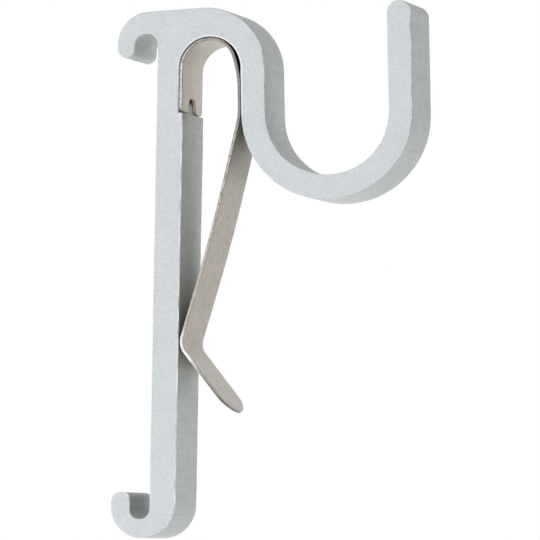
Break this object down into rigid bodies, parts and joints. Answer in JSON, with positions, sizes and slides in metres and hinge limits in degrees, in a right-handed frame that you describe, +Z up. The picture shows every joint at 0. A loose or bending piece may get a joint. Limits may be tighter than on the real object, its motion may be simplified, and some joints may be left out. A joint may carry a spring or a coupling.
{
  "type": "map rail hook",
  "caption": "Extruded aluminium hook that grips the lips of a wall map rail, with a large roller hook and a bent spring strip that clips paper.",
  "frame": {"origin": "rail side of the stem, halfway between the closed ends of the two rail slots and halfway through the depth", "axes": "+Z up along the stem, +Y along the rail and through the depth, +X away from the rail towards the room"},
  "size_m": [0.0343, 0.0094, 0.0607],
  "materials": {
    "satin_aluminium": "satin, clear anodised",
    "spring_steel": "rolled, plated strip"
  },
  "bodies": {
    "root": {"hook_body": "satin_aluminium", "spring_clip": "spring_steel"}
  },
  "joints": []
}
